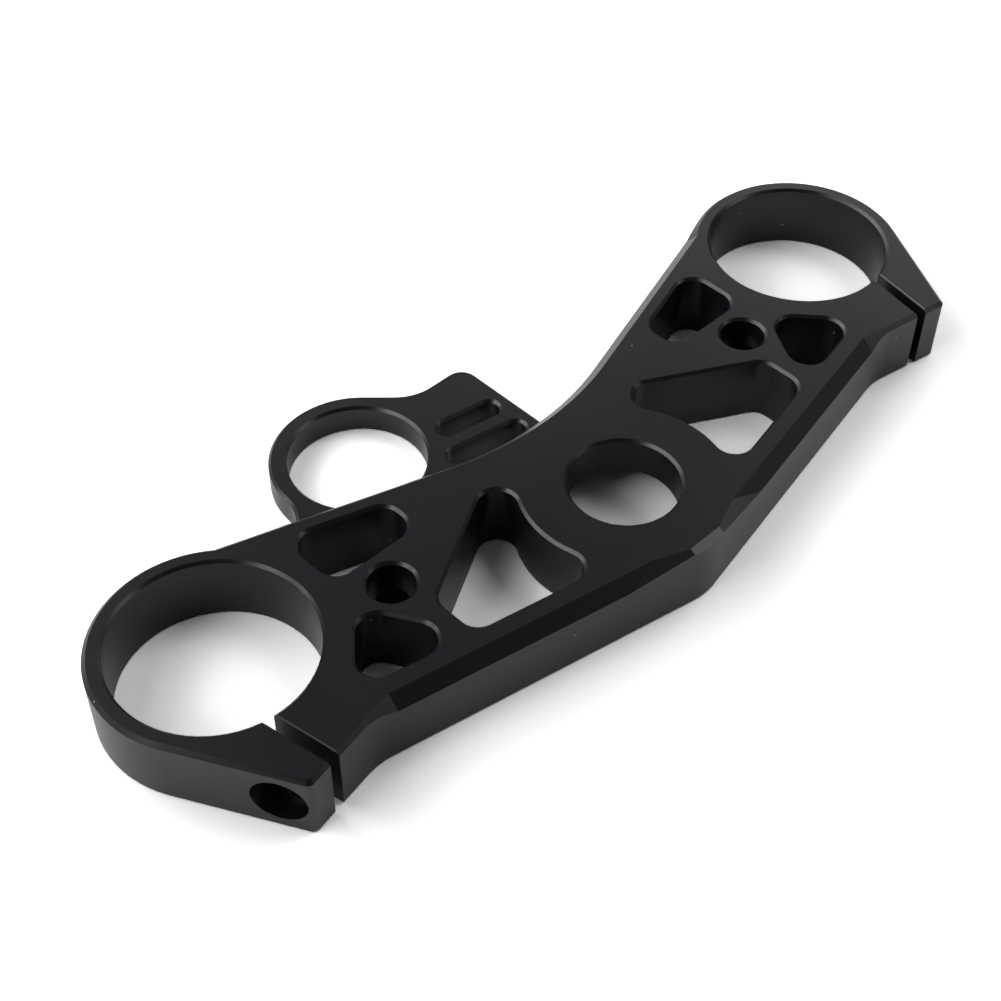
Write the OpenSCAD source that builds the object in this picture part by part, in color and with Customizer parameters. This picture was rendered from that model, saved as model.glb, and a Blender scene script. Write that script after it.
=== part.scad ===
// Top triple clamp of a motorcycle, machined from one block. Millimetres, +Z up.
// The origin is on the stem axis at the underside. +X is the right side, +Y the front.
// The plan is drawn for the right side. The left side is its mirror image, apart from the bracket.

/* [Layout] */
// Distance between the two fork axes
fork_spacing = 210; // [206:0.5:214]
// Distance of the fork axes ahead of the stem axis
fork_offset = 30; // [28:0.5:32]
// Thickness of the plate
plate_h = 19; // [18:0.5:21]
// Width of the chamfer round the top outline
top_edge = 1.1; // [0.6:0.1:1.4]
// Width of the chamfer along every underside edge
under_edge = 0.5; // [0.3:0.1:0.8]
// Width of the chamfer on top of every hole and pocket
hole_edge = 0.75; // [0.4:0.05:0.9]

/* [Fork clamps] */
// Diameter of the fork bores
fork_d = 50; // [48:0.5:51]
// Wall round a fork bore
clamp_wall = 4.6; // [4:0.1:6]
// Angle of the outer side face from the length of the bike
side_turn = 29.5; // [27:0.5:32]
// Rounding of the outer corner of the ears
nose_r = 2; // [1.5:0.5:3]
// Angle by which the split leans inwards towards the rear
split_lean = 10.8; // [9:0.2:12]
// Distance of the split outside the fork axis
split_shift = 8.56; // [8:0.1:9.5]
// Width of the split
split_w = 3; // [2:0.1:4]
// Width of the edge break along the top of the split
split_edge = 0.3; // [0.1:0.1:0.5]

/* [Pinch bolts] */
// Metal between a fork bore and the recess for the bolt head
bolt_web = 3.3; // [2.6:0.1:4]
// Diameter of the recess for the bolt head
head_d = 13; // [12:0.5:14]
// Metal between that recess and the end face of the ears
ear_rim = 1; // [0.5:0.1:2]
// Metal between the bolt head and the split
head_seat = 4.4; // [3.5:0.1:5.5]
// Diameter of the clearance hole for the bolt
bolt_d = 8.4; // [8.1:0.1:9]
// Diameter of the threaded hole before tapping
tap_d = 6.8; // [6.4:0.1:7.2]
// Depth of the threaded hole from the split
tap_depth = 14.5; // [12:0.5:15.5]

/* [Stem and bar mounts] */
// Diameter of the stem bore
stem_d = 28.6; // [26:0.2:32]
// Wall round the stem bore
stem_wall = 13; // [12:0.5:13.5]
// Distance between the two bar mount holes
bar_spacing = 127; // [125:0.5:129]
// Distance of the bar mount holes ahead of the stem axis
bar_offset = 15.5; // [14.5:0.5:16.5]
// Diameter of the recess on top of a bar mount hole
bar_head_d = 12; // [11:0.5:12.5]
// Depth of that recess
bar_head_depth = 7; // [5:0.5:10]
// Diameter of a bar mount hole
bar_d = 8.4; // [8.1:0.1:9]

/* [Outline] */
// Sweep angle of the rear walls
rear_sweep = 11.45; // [11:0.05:12]
// Distance from the stem axis to where the rear walls meet
rear_depth = 29; // [28.4:0.1:30]
// Rounding where the rear walls meet
apex_r = 20; // [10:1:25]
// Rounding between an arm and its ears
elbow_r = 20; // [10:1:22]
// Sweep angle of the front walls
front_sweep = 18; // [17:0.25:19]
// Radius of the hollow in the middle of the front
waist_r = 87; // [82:1:92]

/* [Bevels] */
// Width of the bevel along the front
front_bevel = 3; // [2:0.1:3.5]
// Width of the bevel along the rear
rear_bevel = 3.3; // [2.4:0.1:3.8]
// Distance from the middle at which the rear bevel starts to run out
runout_x = 14.5; // [12:0.5:18]
// Slope of the flat on which the rear bevel runs out
runout_slope = 34; // [30:1:38]
// Angle by which that flat turns away from the rear
runout_turn = 21.8; // [18:0.2:26]
// Width of the flat across the middle of the rear
apex_flat = 2.2; // [1.4:0.1:2.4]
// Slope of that flat
apex_slope = 32; // [30:1:40]

/* [Pockets] */
// Rounding of the pocket corners
pocket_r = 5.2; // [4.5:0.1:6]
// Metal between the rear wall and the pockets
rear_rail = 8.25; // [7.5:0.25:9]
// Metal between the front wall and the front pocket
front_rail = 6.6; // [6:0.2:7.6]
// Metal between a fork bore and the pockets beside it
fork_web = 7.2; // [6.5:0.1:8]
// Metal between a bar mount recess and the two small pockets
bar_web = 3.5; // [3:0.1:4]
// Length of the front pocket
front_pocket_l = 25.6; // [22:0.2:27]
// Width by which the outer corner of the rear pocket is cut off
rear_corner_cut = 4.6; // [4.6:0.1:6]
// Angle of the rear pocket's wall beside the fork
fork_side_turn = 41; // [38:1:44]
// Angle of the rear pocket's wall beside the bar mount
bar_side_turn = 59.5; // [57:0.5:62]
// Distance from the stem axis to the outer wall of the window
window_x = 59.5; // [56:0.5:60]
// Metal between a bar mount recess and the window
window_web = 5.5; // [4.5:0.25:6.5]
// Angle of the window's upper wall
window_turn = 29.3; // [27:0.5:31]

/* [Lock bracket] */
// Thickness of the bracket
bracket_h = 8.2; // [7:0.2:10]
// Distance of the lock ring to the left of the stem axis
ring_x = 35.2; // [33:0.2:37]
// Distance of the lock ring ahead of the stem axis
ring_y = 61; // [59:0.5:63]
// Diameter of the lock ring's bore
ring_d = 36.6; // [34:0.2:38]
// Wall of the lock ring
ring_wall = 4.8; // [4:0.1:6]
// Rounding between the ring and the front wall
foot_r = 12; // [9:0.5:14]
// Distance of the lug's side to the right of the stem axis
lug_x = 8.6; // [8:0.2:12]
// Distance of the lug's end ahead of the stem axis
lug_y = 67.7; // [66:0.1:69]
// Rounding of the lug's corner
lug_r = 5; // [3:0.5:7]
// Angle of the slope between the ring and the lug
lug_slope = 44; // [40:1:48]
// Rounding at the foot of that slope
lug_blend_r = 14; // [10:1:15]

/* [Cable slots] */
// Width of the two slots in the lug
slot_w = 5.4; // [4.5:0.1:6]
// Angle of the slots
slot_lean = 10.4; // [8:0.2:13]
// Centre distance of the outer slot's ends
outer_slot_l = 13.4; // [11:0.2:14.5]
// Middle of the outer slot, to the left of the stem axis
outer_slot_x = 4.5; // [3.5:0.1:5]
// Middle of the outer slot, ahead of the stem axis
outer_slot_y = 51.5; // [51:0.1:53]
// Centre distance of the inner slot's ends
inner_slot_l = 18.4; // [15:0.2:19]
// Middle of the inner slot, to the left of the stem axis
inner_slot_x = 7.1; // [6.5:0.1:7.5]
// Middle of the inner slot, ahead of the stem axis
inner_slot_y = 41.7; // [41:0.1:42]

/* [Hidden] */
$fn = 96;
// How far a cutter passes the face that it cuts
over = 1;
// How much larger an arc's circle is than the arc, so that it crosses the walls that it joins
nudge = 0.005;
// Arcs whose ends are nearer than this touch each other
touching = 0.02;
// Point angle of the drill
drill_point = 118;
// Rounding of the bracket's corner inside the plate
root_r = 5;
// Angle of the bracket's side inside the plate
root_lean = 12;
fork = [fork_spacing / 2, fork_offset];
bar = [bar_spacing / 2, bar_offset];
ring = [-ring_x, ring_y];
clamp_r = fork_d / 2 + clamp_wall;
bolt_reach = fork_d / 2 + bolt_web + head_d / 2;
ear_reach = bolt_reach + head_d / 2 + ear_rim;
stem_r = stem_d / 2 + stem_wall;
ring_r = ring_d / 2 + ring_wall;

// Unit vector at an angle
function unit(a) = [cos(a), sin(a)];

// Angle brought into 0 to 360
function wrap(a) = a - 360 * floor(a / 360);

// A wall is the angle that its outer side faces and its distance from the origin.
// This one stands a distance away from a point.
function wall(a, point, away) = [a, unit(a) * point + away];

// The same wall moved inwards
function inside(w, by) = [w[0], w[1] - by];

// The wall on the other side of the plate
function mirrored(w) = [180 - w[0], w[1]];

// Point where two walls meet
function meet(u, v) =
    [u[1] * sin(v[0]) - v[1] * sin(u[0]), v[1] * cos(u[0]) - u[1] * cos(v[0])] / sin(v[0] - u[0]);

// An arc is its centre, its radius and the angles it faces at its two ends.
// The radius is negative where the outline is hollow. This one joins two walls.
function turn(u, v, r) =
    [meet(inside(u, r), inside(v, r)), r, u[0], u[0] + wrap(v[0] - u[0]) - (r > 0 ? 0 : 360)];

// Arcs that join a closed row of walls
function turns(walls, r) =
    [for (i = [0:len(walls) - 1]) turn(walls[i], walls[(i + 1) % len(walls)], r)];

// The same arcs on the other side of the plate
function flip(arcs) =
    [for (i = [len(arcs) - 1:-1:0])
        [[-arcs[i][0].x, arcs[i][0].y], arcs[i][1], 180 - arcs[i][3], 180 - arcs[i][2]]];

// The same arcs seen from outside the outline
function outside(arcs) =
    [for (i = [len(arcs) - 1:-1:0])
        [arcs[i][0], -arcs[i][1], arcs[i][3] + 180, arcs[i][2] + 180]];

// Ends of an arc
function start_of(s) = s[0] + s[1] * unit(s[2]);
function end_of(s) = s[0] + s[1] * unit(s[3]);
function next_of(arcs, i) = arcs[(i + 1) % len(arcs)];
function apart(s, t) = norm(start_of(t) - end_of(s)) > touching;

// How far along a wall an arc's circle crosses it
function crossing(s) = sqrt(2 * nudge * abs(s[1]));

// Plan of an outline. A polygon joins the ends of its arcs, and their circles are added to it or cut.
module plan(arcs) {
    difference() {
        union() {
            polygon([for (i = [0:len(arcs) - 1])
                let (s = arcs[i])
                each concat([start_of(s)], apart(s, next_of(arcs, i)) ? [end_of(s)] : [])]);
            for (s = arcs)
                if (s[1] > 0)
                    translate(s[0])
                        circle(s[1] + nudge);
        }
        for (s = arcs)
            if (s[1] < 0)
                translate(s[0])
                    circle(nudge - s[1]);
    }
}

// Cutter for a 45 degree chamfer along a straight edge of the top face. It starts at a point of the
// wall, on the left of the direction that faces the metal.
module straight_edge(point, a, l, h, width) {
    translate([point.x, point.y, h])
        rotate([90, 0, a + 180])
            mirror([1, 0, 0])
                linear_extrude(l)
                    polygon([[-over, -width - over], [width + over, over], [-over, over]]);
}

// Cutter for a 45 degree chamfer along an arc of the top face, seen from the side of the cutter
module round_edge(s, h, width) {
    r = abs(s[1]) + nudge;
    side = s[1] > 0 ? 1 : -1;
    more = s[1] > 0 ? 2 * crossing(s) / s[1] * 180 / PI : 0;
    from = min(s[2], s[3]) - more + (side > 0 ? 0 : 180);
    lift = s[1] > 0 ? over : min(over, (r - width) / 2);
    translate([s[0].x, s[0].y, h])
        rotate([0, 0, from])
            rotate_extrude(angle = abs(s[3] - s[2]) + 2 * more)
                polygon([
                    [r - side * over, -width - over],
                    [r + side * (width + lift), lift],
                    [r - side * over, lift]]);
}

// Cutter for the chamfer round an opening in the top face
module edges(arcs, h, width) {
    for (i = [0:len(arcs) - 1]) {
        s = arcs[i];
        t = next_of(arcs, i);
        before = s[1] > 0 ? 0 : 2 * crossing(s);
        after = t[1] > 0 ? 0 : 2 * crossing(t);
        round_edge(s, h, width);
        if (apart(s, t))
            straight_edge(
                end_of(s) - before * unit(s[3] + 90), s[3],
                norm(start_of(t) - end_of(s)) + before + after, h, width);
    }
}

// Cutter for an opening with chamfered edges
module opening(arcs, h) {
    translate([0, 0, -over])
        linear_extrude(h + 2 * over)
            plan(arcs);
    edges(arcs, h, hole_edge);
    mirror([0, 0, 1])
        edges(arcs, 0, under_edge);
}

// Cutter for a bore with chamfered edges
module bore(d, h) {
    translate([0, 0, -over])
        cylinder(h = h + 2 * over, d = d);
    translate([0, 0, -over])
        cylinder(h = under_edge + over, d1 = d + 2 * (under_edge + over), d2 = d);
    translate([0, 0, h - hole_edge])
        cylinder(h = hole_edge + over, d1 = d, d2 = d + 2 * (hole_edge + over));
}

// Everything above a plane that falls towards an angle and meets the top face at a point
module above(point, a, slope) {
    translate([point.x, point.y, plate_h])
        rotate([0, slope, a])
            translate([-fork_spacing, -fork_spacing, 0])
                cube([2 * fork_spacing, 2 * fork_spacing, fork_spacing]);
}

// Everything above a 45 degree plane that falls outwards to a wall
module above_edge(w, width) {
    above((w[1] - width) * unit(w[0]), w[0], 45);
}

// Both sides of the plate
module both_sides() {
    children();
    mirror([1, 0, 0])
        children();
}

// Walls of the plate
rear_wall = [rear_sweep - 90, rear_depth * cos(rear_sweep)];
ear_end = wall(-90 - split_lean, fork, ear_reach);
side_face = wall(-side_turn, fork, clamp_r);
front_wall = wall(90 + front_sweep, fork, clamp_r);
waist = turn(front_wall, mirrored(front_wall), -waist_r);
nose = turn(ear_end, side_face, nose_r);
apex = turn(mirrored(rear_wall), rear_wall, apex_r);

// Outline of one clamp, from the elbow to the end of its round
clamp_arcs = [
    turn(rear_wall, ear_end, -elbow_r),
    nose,
    [fork, clamp_r, -side_turn, 90 + front_sweep]];

// Outline of the plate
plate_arcs = concat([apex], clamp_arcs, [waist], flip(clamp_arcs));

// Front pocket, between the fork bore and the front wall
front_pocket_out = fork.x - fork_d / 2 - fork_web;
front_pocket_arcs = turns([
    [-90, -bar.y - bar_head_d / 2 - bar_web],
    [0, front_pocket_out],
    inside(front_wall, front_rail),
    [180, front_pocket_l - front_pocket_out]], pocket_r);

// Rear pocket, between the fork bore and the rear wall
rear_pocket_low = inside(rear_wall, rear_rail);
rear_pocket_up = wall(fork_side_turn, fork, -fork_d / 2 - fork_web);
rear_pocket_arcs = turns([
    rear_pocket_low,
    [0, meet(rear_pocket_low, rear_pocket_up).x - rear_corner_cut],
    rear_pocket_up,
    wall(90 + bar_side_turn, bar, -bar_head_d / 2 - bar_web)], pocket_r);

// Window between the stem and the bar mount, with its two corners beside the stem.
// They touch one wall each and the round of the stem.
window_low = inside(rear_wall, rear_rail);
window_out = [0, window_x];
window_up = wall(90 - window_turn, bar, -bar_head_d / 2 - window_web);
function beside_stem(w, side) =
    let (h = w[1] - pocket_r, r = stem_r + pocket_r)
    h * unit(w[0]) + sqrt(r * r - h * h) * unit(w[0] + side);
low_corner = beside_stem(window_low, 90);
up_corner = beside_stem(window_up, -90);
low_turn = 180 + atan2(low_corner.y, low_corner.x);
up_turn = 180 + atan2(up_corner.y, up_corner.x);
window_arcs = [
    turn(window_low, window_out, pocket_r),
    turn(window_out, window_up, pocket_r),
    [up_corner, pocket_r, window_up[0], up_turn],
    [[0, 0], -stem_r, up_turn, low_turn],
    [low_corner, pocket_r, low_turn, 360 + window_low[0]]];

// Outline of the bracket. Its left foot rounds into the front wall and sinks a little into it.
// The rest of the outline lies inside the plate.
foot_wall = inside(mirrored(front_wall), touching - foot_r);
foot_out = foot_wall[1] - unit(foot_wall[0]) * ring;
foot = ring + foot_out * unit(foot_wall[0])
    + sqrt(pow(ring_r + foot_r, 2) - foot_out * foot_out) * unit(foot_wall[0] + 90);
foot_turn = wrap(atan2(foot.y - ring.y, foot.x - ring.x));
root = foot - (foot_r + root_r) * unit(foot_wall[0]);
root_wall = wall(270 - root_lean, root, root_r);
slope_wall = wall(90 - lug_slope, ring, ring_r);
bracket_arcs = [
    turn(root_wall, [0, lug_x], over),
    turn([0, lug_x], [90, lug_y], lug_r),
    turn([90, lug_y], slope_wall, -lug_blend_r),
    [ring, ring_r, slope_wall[0], foot_turn],
    [foot, -foot_r, foot_turn, foot_wall[0]],
    [root, root_r, foot_wall[0], root_wall[0]]];

// Arcs of a slot with round ends
function slot_arcs(x, y, l) =
    [for (side = [0, 180])
        [[-x, y] + l / 2 * unit(side - slot_lean), slot_w / 2,
         side - slot_lean - 90, side - slot_lean + 90]];

// Cutter for the chamfer round the clamps and the nose of the right side, up to the front wall
module clamp_edges(width, front_width) {
    difference() {
        union() {
            round_block(fork, clamp_r, -side_turn, 90 + front_sweep / 2, width);
            straight_edge(
                start_of(waist), 180 + front_wall[0],
                norm(end_of(clamp_arcs[2]) - start_of(waist)) + clamp_r, plate_h, front_width);
        }
        translate([fork.x, fork.y, plate_h - front_width - 2 * over])
            cylinder(
                h = front_width + 4 * over,
                r1 = clamp_r - width + nudge + front_width + 2 * over,
                r2 = clamp_r - width + nudge - 2 * over);
    }
    round_edge([nose[0], -nose[1], nose[3] + 180, nose[2] + 180], plate_h, width);
    above_edge(side_face, width);
}

// Ring sector that holds the chamfer round a clamp
module round_block(centre, r, from, to, width) {
    translate([centre.x, centre.y, plate_h - width - over])
        rotate([0, 0, from])
            rotate_extrude(angle = to - from)
                translate([r - width - 2 * over, 0])
                    square([width + 4 * over, width + 2 * over]);
}

// Cutter for the chamfer along the hollow of the front
module waist_edge(width) {
    round_edge([waist[0], waist_r, waist[3] + 180, waist[2] + 180], plate_h, width);
}

// Bevel along the rear of the right arm, up to the chamfer of the ears
module rear_edges(width, ear_width) {
    intersection() {
        above_edge(rear_wall, width);
        above_edge(ear_end, ear_width);
    }
}

// The bevel's end towards the middle, where it runs out on a flat
module rear_bevel_cut() {
    intersection() {
        rear_edges(rear_bevel, top_edge);
        above(meet(inside(rear_wall, rear_bevel), [0, runout_x]), runout_turn - 90, runout_slope);
    }
}

// Flat across the middle of the rear
module apex_cut() {
    above([0, apex[0].y - apex_r + apex_flat], -90, apex_slope);
}

// Split and pinch bolt holes of the right clamp, in a frame that leans with the split
module pinch_cut() {
    inner = split_shift - split_w / 2;
    seat = split_shift + split_w / 2 + head_seat;
    translate([fork.x, fork.y, 0])
        rotate([0, 0, -split_lean]) {
            translate([split_shift, -fork_d / 4, 0])
                rotate([90, 0, 0])
                    linear_extrude(ear_reach)
                        polygon([
                            [-split_w / 2, -over],
                            [split_w / 2, -over],
                            [split_w / 2, plate_h - split_edge],
                            [split_w / 2 + split_edge + over, plate_h + over],
                            [-split_w / 2 - split_edge - over, plate_h + over],
                            [-split_w / 2, plate_h - split_edge]]);
            translate([inner, -bolt_reach, plate_h / 2])
                rotate([0, -90, 0])
                    drilled(tap_d, tap_depth);
            translate([split_shift, -bolt_reach, plate_h / 2])
                rotate([0, 90, 0])
                    cylinder(h = 2 * split_w + head_seat, d = bolt_d);
            translate([seat, -bolt_reach, plate_h / 2])
                rotate([0, 90, 0])
                    cylinder(h = fork_d, d = head_d);
        }
}

// Blind hole with a drill point, made along +Z
module drilled(d, depth) {
    translate([0, 0, -over])
        cylinder(h = depth + over, d = d);
    translate([0, 0, depth])
        cylinder(h = d / 2 / tan(drill_point / 2), d1 = d, d2 = 0);
}

// Bar mount hole of the right side
module bar_cut() {
    translate([bar.x, bar.y, 0]) {
        translate([0, 0, -over])
            cylinder(h = plate_h, d = bar_d);
        translate([0, 0, -over])
            cylinder(h = under_edge + over, d1 = bar_d + 2 * (under_edge + over), d2 = bar_d);
        translate([0, 0, plate_h - bar_head_depth])
            cylinder(h = bar_head_depth + over, d = bar_head_d);
        translate([0, 0, plate_h - hole_edge])
            cylinder(h = hole_edge + over, d1 = bar_head_d, d2 = bar_head_d + 2 * (hole_edge + over));
    }
}

// All that is cut from one side of the plate
module side_cuts() {
    clamp_edges(top_edge, front_bevel);
    rear_bevel_cut();
    translate([fork.x, fork.y, 0])
        bore(fork_d, plate_h);
    pinch_cut();
    bar_cut();
    opening(front_pocket_arcs, plate_h);
    opening(rear_pocket_arcs, plate_h);
    opening(window_arcs, plate_h);
}

// Block with a chamfered underside
module block(arcs, h) {
    difference() {
        linear_extrude(h)
            plan(arcs);
        mirror([0, 0, 1])
            edges(outside(arcs), 0, under_edge);
    }
}

// Plate with the lock bracket in front of its left arm
module triple_clamp() {
    color([0.07, 0.07, 0.08])
        difference() {
            union() {
                block(plate_arcs, plate_h);
                difference() {
                    block(bracket_arcs, bracket_h);
                    edges(outside(bracket_arcs), bracket_h, hole_edge);
                }
            }
            bore(stem_d, plate_h);
            waist_edge(front_bevel);
            apex_cut();
            both_sides()
                side_cuts();
            translate([ring.x, ring.y, 0])
                bore(ring_d, bracket_h);
            opening(slot_arcs(outer_slot_x, outer_slot_y, outer_slot_l), bracket_h);
            opening(slot_arcs(inner_slot_x, inner_slot_y, inner_slot_l), bracket_h);
        }
}

triple_clamp();
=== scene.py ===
# %% [markdown]
# # A triple clamp in black anodised aluminium
# The part is one block of aluminium, milled on all sides and then anodised black. Its shape is
# settled before Blender starts, so this lesson is about its finish, the light and the camera.
# The mesh comes in as the fixed frame, and nothing here moves or bends it. One relief, on the
# underside, is cut into a copy.

import math

import bmesh
import bpy
import numpy as np
from mathutils import Matrix, Vector


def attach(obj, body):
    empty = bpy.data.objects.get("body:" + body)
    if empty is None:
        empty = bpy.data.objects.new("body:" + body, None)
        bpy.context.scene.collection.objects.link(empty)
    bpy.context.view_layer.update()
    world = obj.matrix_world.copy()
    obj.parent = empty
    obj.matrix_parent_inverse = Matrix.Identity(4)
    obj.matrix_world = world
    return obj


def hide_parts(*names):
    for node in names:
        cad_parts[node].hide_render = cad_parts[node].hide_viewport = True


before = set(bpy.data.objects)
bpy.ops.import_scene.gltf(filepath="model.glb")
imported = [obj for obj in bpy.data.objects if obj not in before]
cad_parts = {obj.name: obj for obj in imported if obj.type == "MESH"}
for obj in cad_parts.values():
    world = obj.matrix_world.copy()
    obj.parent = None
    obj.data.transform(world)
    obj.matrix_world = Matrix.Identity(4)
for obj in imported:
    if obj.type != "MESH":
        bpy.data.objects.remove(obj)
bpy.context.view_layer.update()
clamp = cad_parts["triple_clamp"]
MM = 1000


# %% [markdown]
# ## The camera
# The photograph was taken from behind and to the left, looking down at about 47 degrees. The
# camera stands on a sphere round a point near the middle of the plate. Azimuth, elevation and
# distance place it, and a small roll turns the picture as the photographer held it.

# %% Place the camera
AIM = Vector((-0.02674, 0.016545, 0.019))
AZIMUTH = math.radians(-44.603)
ELEVATION = math.radians(46.541)
ROLL = math.radians(0.367)
DISTANCE = 0.4238
LENS = 62.265
SENSOR = 36


def look_from(aim, azimuth, elevation, roll, distance):
    """Camera matrix. Its back vector points from the aim to the camera, right is level, and up is
    their cross product. The roll turns right and up about the back vector."""
    back = Vector((
        math.sin(azimuth) * math.cos(elevation),
        -math.cos(azimuth) * math.cos(elevation),
        math.sin(elevation)))
    right = Vector((math.cos(azimuth), math.sin(azimuth), 0))
    up = back.cross(right)
    axes = (
        right * math.cos(roll) + up * math.sin(roll),
        up * math.cos(roll) - right * math.sin(roll),
        back)
    matrix = Matrix(axes).transposed().to_4x4()
    matrix.translation = aim + back * distance
    return matrix


lens = bpy.data.cameras.new("camera")
lens.lens = LENS
lens.sensor_width = SENSOR
camera = bpy.data.objects.new("camera", lens)
camera.matrix_world = look_from(AIM, AZIMUTH, ELEVATION, ROLL, DISTANCE)
bpy.context.scene.collection.objects.link(camera)
bpy.context.scene.camera = camera
print("camera at", [round(x, 3) for x in camera.matrix_world.translation])

# %% [markdown]
# ## The relief round the stem
# Seen through the stem bore, the floor starts sooner than a bore through the whole plate would
# let it. The bore's wall is only about 10 mm high, so the real plate is turned out from below,
# round the stem, where a nut and a washer need room. The frame has no such relief, and its mesh
# is left as it is. A copy has its loose triangles joined, and then a turned plug is taken out of
# the copy, as a boring head would do it. The plug is worked out as a profile that goes round.

# %% Turn the plug
STEM_RADIUS = 0.0143
RELIEF_RADIUS = 0.0225
RELIEF_DEPTH = 0.008
EDGE = 0.0005
CORNER = 0.0012
CORNER_POINTS = 7
SPARE = 0.001
TURNS = 192


def relief_profile():
    """Radius and height of the plug, from below the plate upwards: a chamfer at the mouth, the
    wall, a round corner, the flat round the bore, and a chamfer up into the bore."""
    arc = np.linspace(0, np.pi / 2, CORNER_POINTS)
    corner = np.stack([
        RELIEF_RADIUS - CORNER * (1 - np.cos(arc)),
        RELIEF_DEPTH - CORNER * (1 - np.sin(arc))], axis=1)
    mouth = np.array([
        (RELIEF_RADIUS + EDGE + SPARE, -SPARE),
        (RELIEF_RADIUS, EDGE)])
    top = np.array([
        (STEM_RADIUS + EDGE, RELIEF_DEPTH),
        (STEM_RADIUS - SPARE, RELIEF_DEPTH + EDGE + SPARE)])
    return np.concatenate([mouth, corner, top])


def turned(name, profile):
    """A closed surface of revolution. Every point of the profile goes round Z: x is its radius
    times the cosine of the angle, y its radius times the sine, and z its height."""
    radius, height = profile.T
    angle = np.linspace(0, 2 * np.pi, TURNS, endpoint=False)
    points = np.stack([
        radius[:, None] * np.cos(angle),
        radius[:, None] * np.sin(angle),
        np.broadcast_to(height[:, None], (len(radius), TURNS))], axis=-1)
    row, column = np.meshgrid(np.arange(len(radius) - 1), np.arange(TURNS), indexing="ij")
    here = row * TURNS + column
    ahead = row * TURNS + (column + 1) % TURNS
    walls = np.stack([here, ahead, ahead + TURNS, here + TURNS], axis=-1)
    ring = np.arange(TURNS)
    ends = [ring[::-1].tolist(), (ring + TURNS * (len(radius) - 1)).tolist()]
    mesh = bpy.data.meshes.new(name)
    mesh.from_pydata(points.reshape(-1, 3).tolist(), [], walls.reshape(-1, 4).tolist() + ends)
    return mesh


plug = turned("plug", relief_profile())
print("plug:", len(plug.vertices), "points,", len(plug.polygons), "faces")

# %% Take the plug out of a copy of the plate
SAME_POINT = 1e-6
SMOOTH_BELOW = math.radians(9.5)


def joined(mesh):
    """A copy of a mesh whose triangles share their corners. The stored normals and sharp marks
    belong to the loose triangles, so they go."""
    copy = mesh.copy()
    for name in ("custom_normal", "sharp_edge", "sharp_face"):
        if name in copy.attributes:
            copy.attributes.remove(copy.attributes[name])
    skin = bmesh.new()
    skin.from_mesh(copy)
    bmesh.ops.remove_doubles(skin, verts=skin.verts, dist=SAME_POINT)
    skin.to_mesh(copy)
    skin.free()
    return copy


def taken_out(name, mesh, tool):
    """An object of the mesh less the tool's mesh. Only facets that meet at less than
    SMOOTH_BELOW, those of round walls, are shaded smooth."""
    piece = bpy.data.objects.new(name, joined(mesh))
    cutter = bpy.data.objects.new("cutter", tool)
    for thing in (piece, cutter):
        bpy.context.scene.collection.objects.link(thing)
    cut = piece.modifiers.new("relief", "BOOLEAN")
    cut.operation = "DIFFERENCE"
    cut.solver = "EXACT"
    cut.object = cutter
    view = bpy.context.evaluated_depsgraph_get()
    result = bpy.data.meshes.new_from_object(piece.evaluated_get(view))
    piece.modifiers.clear()
    piece.data = result
    bpy.data.objects.remove(cutter)
    result.shade_smooth()
    result.set_sharp_from_angle(angle=SMOOTH_BELOW)
    return piece


def volume(mesh):
    """Volume in cubic millimetres, and the number of edges that don't join two faces."""
    skin = bmesh.new()
    skin.from_mesh(mesh)
    size = skin.calc_volume() * MM ** 3
    open_edges = sum(not edge.is_manifold for edge in skin.edges)
    skin.free()
    return round(size), open_edges


plate = taken_out("relieved_clamp", clamp.data, plug)
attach(plate, "root")
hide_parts("triple_clamp")
print("before:", volume(joined(clamp.data)), "after:", volume(plate.data))

# %% [markdown]
# ## Writing shaders as sums
# A material is a graph of nodes, but its maths reads better as an expression. The class below
# wraps one output socket, and its operators add Math nodes. One method makes every other node.

# %% A small language for nodes
WHITE = (1, 1, 1, 1)


class Value:
    """One output socket. Adding, multiplying and taking the larger make Math nodes."""

    def __init__(self, graph, socket):
        self.graph = graph
        self.socket = socket

    def math(self, operation, first, second):
        return self.graph.node("ShaderNodeMath", {"operation": operation}, {0: first, 1: second})

    def __add__(self, other):
        return self.math("ADD", self, other)

    def __radd__(self, other):
        return self.math("ADD", other, self)

    def __mul__(self, other):
        return self.math("MULTIPLY", self, other)

    def __rmul__(self, other):
        return self.math("MULTIPLY", other, self)

    def larger(self, other):
        return self.math("MAXIMUM", self, other)


class Graph:
    """The nodes of one material or of the world."""

    def __init__(self, owner):
        owner.use_nodes = True
        self.tree = owner.node_tree
        self.tree.nodes.clear()

    def node(self, kind, settings=None, inputs=None, output=0):
        """Makes a node. Its settings are set first, and then the values or links of its sockets.
        A socket goes by its name, or by its number where two share a name."""
        made = self.tree.nodes.new(kind)
        for name, value in (settings or {}).items():
            setattr(made, name, value)
        for name, value in (inputs or {}).items():
            if isinstance(value, Value):
                self.tree.links.new(value.socket, made.inputs[name])
            else:
                made.inputs[name].default_value = value
        return Value(self, made.outputs[output]) if len(made.outputs) else made

    def ray(self, kind):
        """1 for rays of a kind, such as those from the camera, and 0 for all others."""
        return self.node("ShaderNodeLightPath", output="Is %s Ray" % kind)

    def between(self, value, low, high, curve="LINEAR"):
        """0 where the value is low, 1 where it is high, and a ramp between. Low may be the larger
        of the two."""
        return self.node("ShaderNodeMapRange", {"interpolation_type": curve}, {
            "Value": value, "From Min": low, "From Max": high, "To Min": 0.0, "To Max": 1.0})


print("a Value adds nodes as it is added and multiplied")

# %% [markdown]
# ## Black anodised aluminium
# Anodising grows a thin hard layer of glassy oxide, and the dye in it is black. So the finish
# hardly scatters light: nearly all that shows is the surface's own reflection, which is weak
# seen head on and strong at a glancing angle. The tool marks under the layer make it satin.
# A few light specks of dust lie on it.

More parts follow.
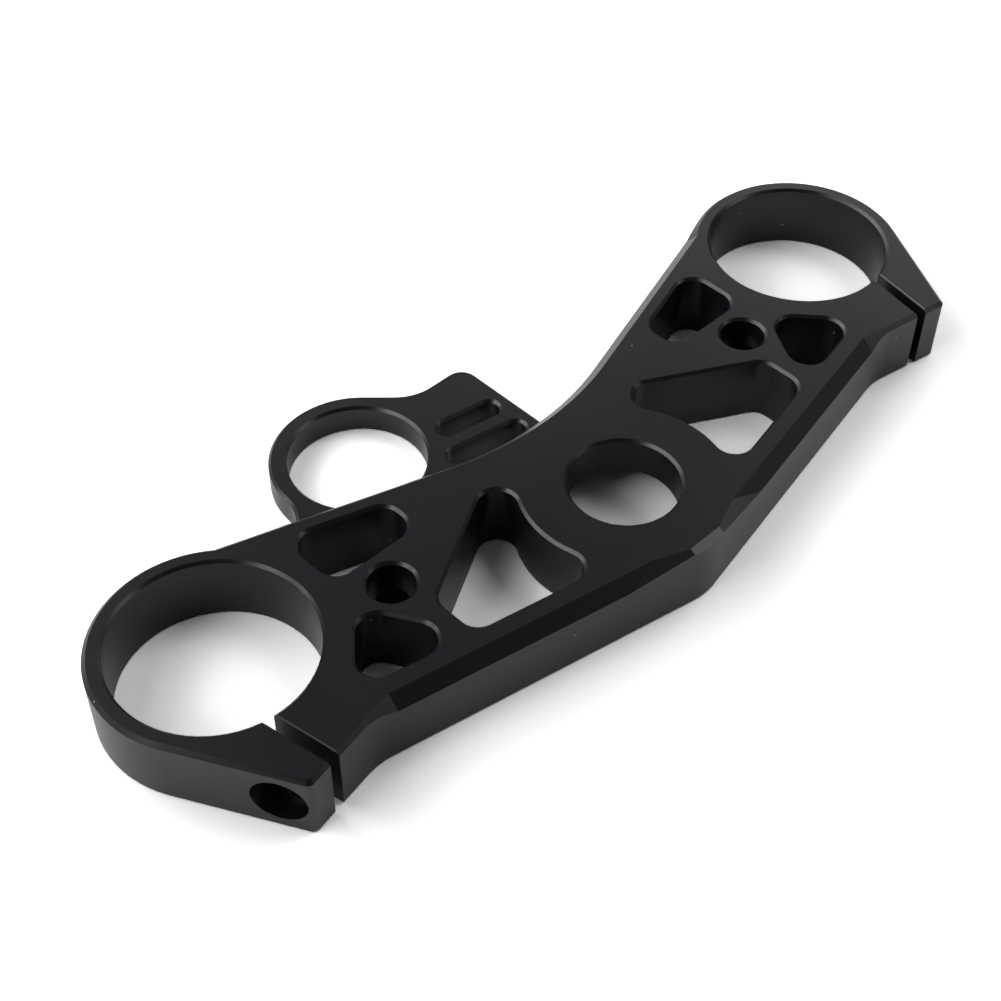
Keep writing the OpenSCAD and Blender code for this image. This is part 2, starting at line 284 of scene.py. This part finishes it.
# %% Material of the part
DYE = (0.004, 0.0039, 0.0058, 1)
GLASSY = 1.5
REFLECTION = (0.965, 0.96, 1, 1)
SATIN = 0.26
UNEVEN = 0.05
GRAIN_SCALE = 1400.0
CLOUD_SCALE = 30.0
GRAIN_STRENGTH = 0.35
GRAIN_DEPTH = 0.00002
DUST = (0.22, 0.22, 0.22, 1)
SPECK_SCALE = 110.0
SPECK_CORE = 0.02
SPECK_RIM = 0.035
MIX_SHARE, MIX_FIRST, MIX_SECOND, MIX_COLOUR = 0, 6, 7, 2


def black_anodised():
    """Roughness is a base value, plus fine grain from the tool marks, plus a slow cloud from the
    bath. The bump is the same grain, a few thousandths of a millimetre deep. Dust lies where one
    of the scattered points of a Voronoi pattern is near: fully inside the core of a speck, and
    not at all beyond its rim."""
    material = bpy.data.materials.new("black_anodised")
    graph = Graph(material)
    place = graph.node("ShaderNodeTexCoord", output="Object")
    grain = graph.node("ShaderNodeTexNoise", {}, {
        "Vector": place, "Scale": GRAIN_SCALE, "Detail": 2.0, "Roughness": 0.6})
    cloud = graph.node("ShaderNodeTexNoise", {}, {
        "Vector": place, "Scale": CLOUD_SCALE, "Detail": 3.0, "Roughness": 0.5})
    roughness = SATIN + UNEVEN * grain + UNEVEN * cloud
    bump = graph.node("ShaderNodeBump", {}, {
        "Strength": GRAIN_STRENGTH, "Distance": GRAIN_DEPTH, "Height": grain})
    nearest = graph.node("ShaderNodeTexVoronoi", {}, {
        "Vector": place, "Scale": SPECK_SCALE, "Randomness": 1.0})
    dust = graph.between(nearest, SPECK_RIM, SPECK_CORE)
    colour = graph.node(
        "ShaderNodeMix", {"data_type": "RGBA"},
        {MIX_SHARE: dust, MIX_FIRST: DYE, MIX_SECOND: DUST}, output=MIX_COLOUR)
    shader = graph.node("ShaderNodeBsdfPrincipled", {}, {
        "Base Color": colour,
        "Metallic": 0.0,
        "IOR": GLASSY,
        "Specular Tint": REFLECTION,
        "Roughness": roughness,
        "Normal": bump})
    graph.node("ShaderNodeOutputMaterial", {}, {"Surface": shader})
    return material


plate.data.materials.clear()
plate.data.materials.append(black_anodised())
print("material slots:", [m.name for m in plate.data.materials])

# %% [markdown]
# ## Floor and world
# The clamp lies on a seamless white sheet. The lamps light it at a plain level, at which white
# paper just comes out white. The photograph was exposed for a black part, so its paper is
# brighter than that, and its shadows are paler. Here the floor itself does that, for the camera
# alone: it sees the lit paper brighter by a set share, and the shadows keep their shape. Further
# out it sees pure white, as a backdrop would be. Neither puts more light on the part.

# %% Floor
PAPER = (0.95, 0.95, 0.95, 1)
LIFT = 0.6
SHADOWS_END = 0.2
BACKDROP = 0.7


def white_floor():
    """Matt white paper, and the same again times LIFT for the camera. Pure white takes over with
    the distance from the stem: its share is 0 where the shadows lie and grows smoothly to 1 at
    the backdrop, for the camera and for what mirrors or passes it."""
    material = bpy.data.materials.new("white_floor")
    graph = Graph(material)
    matt = graph.node("ShaderNodeBsdfDiffuse", {}, {"Color": PAPER})
    lifted = graph.node("ShaderNodeMixShader", {}, {0: LIFT * graph.ray("Camera"), 2: matt})
    paper = graph.node("ShaderNodeAddShader", {}, {0: matt, 1: lifted})
    white = graph.node("ShaderNodeEmission", {}, {"Color": WHITE, "Strength": 1.0})
    place = graph.node("ShaderNodeTexCoord", output="Object")
    distance = graph.node(
        "ShaderNodeVectorMath", {"operation": "LENGTH"}, {0: place}, output="Value")
    away = graph.between(distance, SHADOWS_END, BACKDROP, "SMOOTHSTEP")
    seen = graph.ray("Camera").larger(graph.ray("Glossy")).larger(graph.ray("Transmission"))
    shown = graph.node("ShaderNodeMixShader", {}, {0: seen * away, 1: paper, 2: white})
    graph.node("ShaderNodeOutputMaterial", {}, {"Surface": shown})
    return material


SHEET = 6.0
corners = np.array([[-1, -1, 0], [1, -1, 0], [1, 1, 0], [-1, 1, 0]]) * SHEET / 2
mesh = bpy.data.meshes.new("floor")
mesh.from_pydata(corners.tolist(), [], [(0, 1, 2, 3)])
mesh.materials.append(white_floor())
floor = bpy.data.objects.new("floor", mesh)
bpy.context.scene.collection.objects.link(floor)
print("floor", SHEET, "m wide")

# %% World
ROOM = 0.06
ROOM_TINT = (0.95, 0.94, 1, 1)


def room():
    """An even, slightly blue dimness all round. The camera itself sees white."""
    world = bpy.data.worlds.new("studio")
    graph = Graph(world)
    dim = graph.node("ShaderNodeBackground", {}, {"Color": ROOM_TINT, "Strength": ROOM})
    white = graph.node("ShaderNodeBackground", {}, {"Color": WHITE, "Strength": 1.0})
    shown = graph.node("ShaderNodeMixShader", {}, {0: graph.ray("Camera"), 1: dim, 2: white})
    graph.node("ShaderNodeOutputWorld", {}, {"Surface": shown})
    return world


bpy.context.scene.world = room()
print("room brightness", ROOM)

# %% [markdown]
# ## Lamps
# The finish works like a dark mirror, so the lamps are drawn by what they put into it. Soft boxes
# stand left and right of the part as the camera sees it: they light the chamfers. A strip low
# behind the part gives the top face its fall from grey to black. The space behind the camera
# stays dark, and so does the bevel that looks that way.
#
# Each lamp is placed by the angle from +X and the height at which the part sees it, and by the
# angles that it fills. The last number is how bright its cloth looks.

# %% Lamps
LAMP_DISTANCE = 1.6
LAMP_AIM = Vector((0, 0.03, 0))


def soft_box(name, turn, height, wide, tall, brightness):
    """A rectangular lamp that faces the part. Its sides are twice the distance times the tangent
    of half the angle that it fills. Its power is pi times its area times its brightness."""
    lamp = bpy.data.lights.new(name, "AREA")
    lamp.shape = "RECTANGLE"
    lamp.size = 2 * LAMP_DISTANCE * math.tan(math.radians(wide / 2))
    lamp.size_y = 2 * LAMP_DISTANCE * math.tan(math.radians(tall / 2))
    lamp.energy = math.pi * lamp.size * lamp.size_y * brightness
    thing = bpy.data.objects.new(name, lamp)
    thing.matrix_world = look_from(
        LAMP_AIM, math.radians(turn + 90), math.radians(height), 0.0, LAMP_DISTANCE)
    bpy.context.scene.collection.objects.link(thing)
    print(name, "%.1f m x %.1f m, %.1f W" % (lamp.size, lamp.size_y, lamp.energy))


soft_box("left_box", 120, 33, 50, 30, 4.35)
soft_box("left_high", 135, 58, 63, 20, 1.35)
soft_box("left_side", 167, 37, 26, 16, 6.0)
soft_box("right_high", -15, 58, 34, 20, 2.9)
soft_box("right_box", -30, 39, 44, 18, 2.75)
soft_box("right_low", 15, 22.5, 28, 15, 2.9)
soft_box("far_strip", 60, 22.5, 54, 15, 3.8)
soft_box("far_low", 45, 8, 100, 14, 0.38)

# %% Set the view transform and finish
bpy.context.scene.view_settings.view_transform = "Standard"
